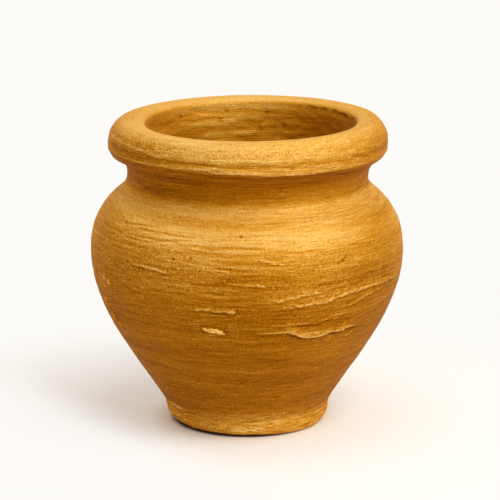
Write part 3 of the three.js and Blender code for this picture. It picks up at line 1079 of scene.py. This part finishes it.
def thrown(name, parts, material, poles=()):
    """A section of the pot: its half section carried round the axis, with the clay's relief on its skin.

    A point is radius and height plus relief along the normal, turned to the column's angle. Poles are the
    two rows that close on the axis, each with the height of its point there.
    """
    points, normals, places, shown, corners = section_rows(parts)
    turn = np.broadcast_to(np.arange(COLUMNS) / COLUMNS, (len(points), COLUMNS))
    place = np.broadcast_to(places[:, None], turn.shape)
    height, rubbed, shade = clay_relief(turn, place)
    height = height * shown[:, None]
    radius = np.maximum(points[:, :1] + height * normals[:, :1], 0)
    level = np.maximum(points[:, 1:] + height * normals[:, 1:], 0)
    angle = 2 * np.pi * turn
    place_3d = np.stack([radius * np.sin(angle), -radius * np.cos(angle), level], axis=-1).reshape(-1, 3)
    place_3d = np.vstack([place_3d, *[(0, 0, height_there) for _, height_there in poles]])

    mesh = bpy.data.meshes.new(name)
    mesh.from_pydata(hand_made(place_3d) * MM, [], grid_faces(len(points), poles))
    for key, values in {
        "flow": np.stack([BELLY_RADIUS * np.sin(angle), -BELLY_RADIUS * np.cos(angle), place], axis=-1),
        "rubbed": rubbed * shown[:, None],
        "hollow": hollows(height),
        "tone": tone_with_painted_light(turn, place) - shade,
        "thick_and_bounce": thick_paint_and_bounce(turn, place),
        "gritty": grittiness(turn, place),
        "combed": zone(place, COMBING),
    }.items():
        set_attribute(mesh, key, values, poles)
    mesh.polygons.foreach_set("use_smooth", np.ones(len(mesh.polygons), bool))
    ends = np.empty(2 * len(mesh.edges), np.int32)
    mesh.edges.foreach_get("vertices", ends)
    end_rows = ends.reshape(-1, 2) // COLUMNS
    sharp = (end_rows[:, 0] == end_rows[:, 1]) & np.isin(end_rows[:, 0], corners)
    mesh.attributes.new("sharp_edge", "BOOLEAN", "EDGE").data.foreach_set("value", sharp)
    mesh.materials.append(material)

    piece = add_object("painted_" + name, mesh)
    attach(piece, "root")
    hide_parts(name)


# Paint

def node(tree, kind, inputs=None, **settings):
    """A shader node with its settings, its inputs as values or as sockets to link from."""
    made = tree.nodes.new(kind)
    for key, value in settings.items():
        setattr(made, key, value)
    for key, value in (inputs or {}).items():
        if isinstance(value, bpy.types.NodeSocket):
            tree.links.new(value, made.inputs[key])
        else:
            made.inputs[key].default_value = value
    return made


def empty_tree(owner):
    """The node tree of a material or world, with nothing in it yet."""
    owner.use_nodes = True
    owner.node_tree.nodes.clear()
    return owner.node_tree


def blend(tree, share, first, second, mode="MIX"):
    """Colour mix of two sockets or colours by a share."""
    inputs = {0: share, 6: first, 7: second}
    return node(tree, "ShaderNodeMix", inputs, data_type="RGBA", blend_type=mode).outputs[2]


def math(tree, operation, first, second):
    """One difference, maximum or like of two numbers or sockets."""
    return node(tree, "ShaderNodeMath", {0: first, 1: second}, operation=operation).outputs[0]


def plus(tree, first, second):
    """Sum of two numbers or sockets."""
    return math(tree, "ADD", first, second)


def times(tree, first, second):
    """Product of two numbers or sockets."""
    return math(tree, "MULTIPLY", first, second)


def centred(tree, value, strength):
    """A noise value about its middle, times a strength."""
    return times(tree, math(tree, "SUBTRACT", value, 0.5), strength)


def rise(tree, value, low, high):
    """0 to 1 as a value goes from low to high, in a soft S."""
    inputs = {"Value": value, "From Min": low, "From Max": high}
    return node(tree, "ShaderNodeMapRange", inputs, interpolation_type="SMOOTHSTEP").outputs["Result"]


def texture(tree, vector, scale, detail, roughness):
    """Noise read at a vector, which a scale of three numbers stretches."""
    if isinstance(scale, tuple):
        vector = node(tree, "ShaderNodeMapping", {"Vector": vector, "Scale": scale}).outputs[0]
        scale = 1
    inputs = {"Vector": vector, "Scale": scale, "Detail": detail, "Roughness": roughness}
    return node(tree, "ShaderNodeTexNoise", inputs).outputs["Fac"]


# Colours of the gold from deep to pale, of thicker gold as a filter that is partly a painted warmth of
# bounced light, of rubbed clay and of the light on it
GOLD_STOPS = [
    (0.0, (0.10, 0.026, 0.0005, 1)),
    (0.3, (0.36, 0.126, 0.0018, 1)),
    (0.55, (0.54, 0.24, 0.017, 1)),
    (0.8, (0.725, 0.43, 0.105, 1)),
    (1.0, (0.87, 0.6, 0.26, 1)),
]
RUBBED_CLAY = (1.0, 0.73, 0.26, 1)
TOUCHED_CLAY = (0.98, 0.6, 0.15, 1)
EDGE_LIGHT = (1.0, 0.9, 0.75, 1)
SPECULAR_GOLD = (1.0, 0.55, 0.06, 1)
THICK_GOLD_AND_BOUNCE = (1.07, 0.97, 0.5, 1)
# Noises of the paint, with their scale, detail and roughness: brush lines along the flow, grain in the clay
GRAIN_TURN = (0.6, 0.4, 0.9)
LONG_LINES = ((0.03, 0.03, 0.6), 3, 0.6)
FINE_LINES = ((0.08, 0.08, 1.3), 2, 0.6)
HAIR_LINES = ((0.13, 0.13, 3.0), 1, 0.6)
STREAKS = ((0.3, 0.3, 1.7), 1, 0.5)
DUST = (2300, 1, 0.5)
CLUMPS = (1300, 1, 0.5)
WORN_PATCHES = (70, 2, 0.5)

# Spans of a noise, or of the rubbed share, over which a mark comes in
WORN_SPAN = (0.4, 0.58)
DASH_SPAN = (0.66, 0.74)
NICK_SPAN = (0.32, 0.24)
GLINT_SPAN = (0.66, 0.76)
FLECK_SPAN = (0.34, 0.26)
BARE_SPAN = (0.45, 0.85)
PALE_CLAY_SPAN = (0.5, 1.0)

# How much paler each kind of mark makes the paint, or deeper where it is below 0. The hollows are partly dirt
# and wear, partly painted shade in the relief's hollows and a painted highlight on its ridges; the bright
# specks are painted glints of the gold
MARK_TONES = {
    "strokes": 0.2,
    "lines": 0.42,
    "grain": 0.6,
    "hollows": -0.14,
    "dashes": 0.25,
    "nicks": -0.15,
    "painted_glints": 0.25,
    "flecks": -0.3,
}
# Grit everywhere, wear everywhere, how much clay shows where it is bare, and the grain's share of the relief
LEAST_GRIT = 0.4
LEAST_WEAR = 0.3
BARE_SHARE = 0.9
GRAIN_RELIEF = 0.7
RELIEF_DEPTH = 0.00035
ROUGHNESS = 0.5
ROUGHER_LINES = 0.2


def gold_paint():
    """Matt gold paint on rough clay: brush lines that follow the wheel, grit, worn ridges and dark pits,
    partly painted highlight and shade, and painted glints.
    """
    material = bpy.data.materials.new("gold_paint")
    tree = empty_tree(material)
    body = node(tree, "ShaderNodeTexCoord").outputs["Object"]
    body = node(tree, "ShaderNodeMapping", {"Vector": body, "Rotation": GRAIN_TURN}).outputs[0]
    flow = node(tree, "ShaderNodeAttribute", attribute_name="flow").outputs["Vector"]
    rubbed, hollow, tone, thick_and_bounce, gritty, combed = (
        node(tree, "ShaderNodeAttribute", attribute_name=name).outputs["Fac"]
        for name in ("rubbed", "hollow", "tone", "thick_and_bounce", "gritty", "combed"))

    long_lines, fine_lines, hair_lines, streaks = (
        texture(tree, flow, *kind) for kind in (LONG_LINES, FINE_LINES, HAIR_LINES, STREAKS))
    dust, clumps, patches = (texture(tree, body, *kind) for kind in (DUST, CLUMPS, WORN_PATCHES))
    lines = times(tree, combed, plus(tree, centred(tree, fine_lines, 0.6), centred(tree, hair_lines, 1.1)))
    worn = plus(tree, times(tree, combed, 1 - LEAST_WEAR), LEAST_WEAR)
    worn = times(tree, worn, rise(tree, patches, *WORN_SPAN))
    loose = plus(tree, gritty, LEAST_GRIT)
    grain = times(tree, loose, plus(tree, centred(tree, dust, 0.9), centred(tree, clumps, 0.4)))
    marks = {
        "strokes": centred(tree, long_lines, 1.0),
        "lines": lines,
        "grain": grain,
        "hollows": hollow,
        "dashes": times(tree, worn, rise(tree, streaks, *DASH_SPAN)),
        "nicks": times(tree, worn, rise(tree, streaks, *NICK_SPAN)),
        "painted_glints": times(tree, loose, rise(tree, dust, *GLINT_SPAN)),
        "flecks": times(tree, gritty, rise(tree, clumps, *FLECK_SPAN)),
    }
    for kind, paler in MARK_TONES.items():
        tone = plus(tree, tone, times(tree, marks[kind], paler))
    ramp = node(tree, "ShaderNodeValToRGB", {"Fac": tone})
    elements = ramp.color_ramp.elements
    while len(elements) < len(GOLD_STOPS):
        elements.new(0.5)
    for element, (position, colour) in zip(elements, GOLD_STOPS):
        element.position = position
        element.color = colour
    gold = blend(tree, thick_and_bounce, ramp.outputs["Color"], THICK_GOLD_AND_BOUNCE, "MULTIPLY")
    bare = plus(tree, times(tree, rubbed, 1.5), centred(tree, clumps, 1.0))
    bare = rise(tree, plus(tree, bare, centred(tree, dust, 0.6)), *BARE_SPAN)
    clay = blend(tree, rise(tree, rubbed, *PALE_CLAY_SPAN), TOUCHED_CLAY, RUBBED_CLAY)

    relief = plus(tree, lines, times(tree, grain, GRAIN_RELIEF))
    bump = node(tree, "ShaderNodeBump", {"Strength": 1.0, "Distance": RELIEF_DEPTH, "Height": relief})
    shader = node(tree, "ShaderNodeBsdfPrincipled", {
        "Base Color": blend(tree, times(tree, bare, BARE_SHARE), gold, clay),
        "Metallic": 0.35,
        "Roughness": plus(tree, times(tree, fine_lines, ROUGHER_LINES), ROUGHNESS),
        "Specular IOR Level": 0.05,
        "Specular Tint": SPECULAR_GOLD,
        "Sheen Weight": 0.05,
        "Sheen Roughness": 0.3,
        "Sheen Tint": EDGE_LIGHT,
        "Normal": bump.outputs[0],
    })
    node(tree, "ShaderNodeOutputMaterial", {"Surface": shader.outputs[0]})
    return material


# Stage: a pale floor that fades into the background, soft light and the camera

BACKGROUND = (0.982, 0.965, 0.930, 1)
FLOOR_COLOUR = (0.86, 0.855, 0.83, 1)
# The warm floor is a painted glow of light bounced off the pot, the dark floor a painted contact shadow
WARM_FLOOR = (0.85, 0.82, 0.75, 1)
DARK_FLOOR = (0.07, 0.025, 0.004, 1)
FLOOR_BOUNCE = (0.78, 0.68, 0.52, 1)
FILL_LIGHT = (1.0, 0.90, 0.80, 1)
FILL_STRENGTH = 0.88

# Floor, in metres: half width, level, and the spans over which it changes with the distance from the pot:
# to white in general, and just outside the foot and towards the left of the front as painted light that thins
# the pot's cast shadow, from a painted warm glow of light bounced off the pot, and to a painted contact
# shadow beneath
FLOOR_HALF = 2.5
FLOOR_LEVEL = -0.00005
WHITE_SPAN = (0.0, 0.14)
FOOT_WHITE_SPAN = (0.022, 0.034)
FOOT_WHITE_SHARE = 0.3
LEFT_FRONT = (-0.8, -0.6, 0)
LEFT_WHITE_SPAN = (0.026, 0.056)
LEFT_WHITE_SHARE = 0.8
WARM_SPAN = (0.03, 0.055)
CONTACT = (-0.0003, 0, 0)
DARK_SPAN = (0.0257, 0.0227)
DARK_SHARE = 0.95

# Soft box: place, size, power, colour, and the point it faces
KEY_PLACE = (0.45, -0.40, 0.78)
KEY_SIZE = 0.42
KEY_POWER = 6.0
KEY_COLOUR = (0.98, 0.98, 0.95)
KEY_TARGET = (0, 0, 0.05)


def seen_directly(tree):
    """1 for rays from the camera, a reflection or a pane, 0 for the rays that carry light."""
    path = node(tree, "ShaderNodeLightPath")
    direct = math(tree, "MAXIMUM", path.outputs["Is Camera Ray"], path.outputs["Is Glossy Ray"])
    return math(tree, "MAXIMUM", direct, path.outputs["Is Transmission Ray"])


def make_world():
    """White where it is seen, a warm fill where it gives light."""
    world = bpy.data.worlds.new("studio")
    bpy.context.scene.world = world
    tree = empty_tree(world)
    fill = node(tree, "ShaderNodeBackground", {"Color": FILL_LIGHT, "Strength": FILL_STRENGTH})
    white = node(tree, "ShaderNodeBackground", {"Color": BACKGROUND, "Strength": 1.0})
    mix = node(tree, "ShaderNodeMixShader", {0: seen_directly(tree), 1: fill.outputs[0], 2: white.outputs[0]})
    node(tree, "ShaderNodeOutputWorld", {"Surface": mix.outputs[0]})


def measure(tree, operation, *vectors):
    """A length, distance or like of vectors."""
    return node(tree, "ShaderNodeVectorMath", dict(enumerate(vectors)), operation=operation).outputs["Value"]


def pale_floor():
    """Floor paint: matt near the pot, as white as the background further out, warm where it gives light.

    It turns white sooner towards the left of the front, a painted light that thins the pot's shadow there, is
    warm near the pot with a painted glow of light bounced off it, and is dark with a painted contact shadow
    under the foot's rounded edge.
    """
    material = bpy.data.materials.new("pale_floor")
    tree = empty_tree(material)
    body = node(tree, "ShaderNodeTexCoord").outputs["Object"]
    away = measure(tree, "LENGTH", body)
    near_foot = times(tree, rise(tree, away, *FOOT_WHITE_SPAN), FOOT_WHITE_SHARE)
    fade = math(tree, "MAXIMUM", rise(tree, away, *WHITE_SPAN), near_foot)
    lit = rise(tree, measure(tree, "DOT_PRODUCT", body, LEFT_FRONT), *LEFT_WHITE_SPAN)
    lit = times(tree, lit, LEFT_WHITE_SHARE)
    fade = math(tree, "SUBTRACT", plus(tree, fade, lit), times(tree, fade, lit))
    under = rise(tree, measure(tree, "DISTANCE", body, CONTACT), *DARK_SPAN)
    fade = times(tree, fade, math(tree, "SUBTRACT", 1.0, under))
    colour = blend(tree, rise(tree, away, *WARM_SPAN), WARM_FLOOR, FLOOR_COLOUR)
    colour = blend(tree, times(tree, under, DARK_SHARE), colour, DARK_FLOOR)
    matt = node(tree, "ShaderNodeBsdfDiffuse", {"Color": colour})
    white = node(tree, "ShaderNodeEmission", {"Color": BACKGROUND, "Strength": 1.0})
    dull = node(tree, "ShaderNodeBsdfDiffuse", {"Color": FLOOR_BOUNCE})
    sight = node(tree, "ShaderNodeMixShader", {0: fade, 1: matt.outputs[0], 2: white.outputs[0]})
    mix = node(tree, "ShaderNodeMixShader", {0: seen_directly(tree), 1: dull.outputs[0], 2: sight.outputs[0]})
    node(tree, "ShaderNodeOutputMaterial", {"Surface": mix.outputs[0]})
    return material


def make_floor():
    """A level square sheet under the pot."""
    mesh = bpy.data.meshes.new("floor_sheet")
    sides = ((-1, -1), (1, -1), (1, 1), (-1, 1))
    mesh.from_pydata([(FLOOR_HALF * x, FLOOR_HALF * y, FLOOR_LEVEL) for x, y in sides], [], [(0, 1, 2, 3)])
    mesh.materials.append(pale_floor())
    add_object("floor_sheet", mesh)


def make_lamp():
    """A square soft box that faces the middle of the pot."""
    light = bpy.data.lights.new("key", "AREA")
    light.size = KEY_SIZE
    light.energy = KEY_POWER
    light.color = KEY_COLOUR
    lamp = add_object("key", light)
    lamp.location = KEY_PLACE
    lamp.rotation_euler = (Vector(KEY_TARGET) - lamp.location).to_track_quat("-Z", "Y").to_euler()


# The photograph's view: how far, how high, which point of the axis is faced, how far right and up of it
# the lens is aimed, and the lens
VIEW_DISTANCE = 836.7
VIEW_ELEVATION = np.radians(14.31)
VIEW_HEIGHT = 48.27
AIM_RIGHT = 0.97
AIM_UP = 6.67
LENS = 187.2
SENSOR = 36.0
NEAREST = 0.01


def make_camera():
    """A long lens in front of the pot, turned a little up and right, so that the pot sits left and low."""
    up = Vector((0, np.sin(VIEW_ELEVATION), np.cos(VIEW_ELEVATION)))
    back = Vector((0, -np.cos(VIEW_ELEVATION), np.sin(VIEW_ELEVATION)))
    middle = Vector((0, 0, VIEW_HEIGHT))
    place = middle + VIEW_DISTANCE * back
    target = middle + AIM_UP * up + Vector((AIM_RIGHT, 0, 0))
    data = bpy.data.cameras.new("camera")
    data.lens = LENS
    data.sensor_width = SENSOR
    data.clip_start = NEAREST
    camera = add_object("camera", data)
    camera.location = place * MM
    camera.rotation_euler = (target - place).to_track_quat("-Z", "Y").to_euler()
    bpy.context.scene.camera = camera


# The pot

make_camera()
paint = gold_paint()
NECK_OUTER = (WAIST_RADIUS + NECK_FLARE, NECK_EDGE)
DISC_EDGE = (FLOOR_RADIUS, 0)
DISC_RIM = (FLOOR_RADIUS, BED_HEIGHT)
SECTION_ENDS = np.array([0, CREASE, SEAM, INNER_SEAM, ROOT, THROAT, TOE])
(FOOT_START, CREASE_POINT, SEAM_POINT, INNER_SEAM_POINT,
 ROOT_POINT, THROAT_POINT, TOE_POINT) = on_line(SECTION_ENDS)

# The floor's skin and underside stop short of the axis, where a fan of triangles closes them
AXIS_GAP = 1
FLOOR_END = LINE_PLACE[-1] - AXIS_GAP
FLOOR_ROWS = skin(TOE, FLOOR_END, (TOE, INNER_STEP))
thrown("floor_disc", [
    FLOOR_ROWS,
    joint((0, 0), (AXIS_GAP, 0), DISC_EDGE, DISC_RIM, TOE_POINT),
], paint, poles=[(len(FLOOR_ROWS) - 1, BED_HEIGHT), (len(FLOOR_ROWS), 0)])
thrown("foot_ring", [
    skin(0, CREASE, (0, FINE_STEP)),
    joint(CREASE_POINT, DISC_RIM, DISC_EDGE, FOOT_START),
], paint)
thrown("lower_wall", [
    skin(CREASE, SEAM, (CREASE, PLAIN_STEP), (SEAM - 9, PLAIN_STEP), (SEAM - 7, FINE_STEP)),
    joint(SEAM_POINT, INNER_SEAM_POINT),
    skin(INNER_SEAM, TOE, (INNER_SEAM, INNER_STEP)),
    joint(TOE_POINT, CREASE_POINT),
], paint)
thrown("shoulder_wall", [
    skin(SEAM, ROOT, (BELLY + 15, FINE_STEP), (BELLY + 19, NECK_STEP)),
    joint(ROOT_POINT, NECK_OUTER, THROAT_POINT),
    skin(THROAT, INNER_SEAM, (THROAT + 14, THROAT_STEP), (THROAT + 20, INNER_STEP)),
    joint(INNER_SEAM_POINT, SEAM_POINT),
], paint)
thrown("rim_roll", [
    skin(ROOT, THROAT, (ROOT, FINE_STEP)),
    joint(THROAT_POINT, NECK_OUTER, ROOT_POINT),
], paint)

make_floor()
make_world()
make_lamp()
bpy.context.scene.view_settings.view_transform = "Standard"
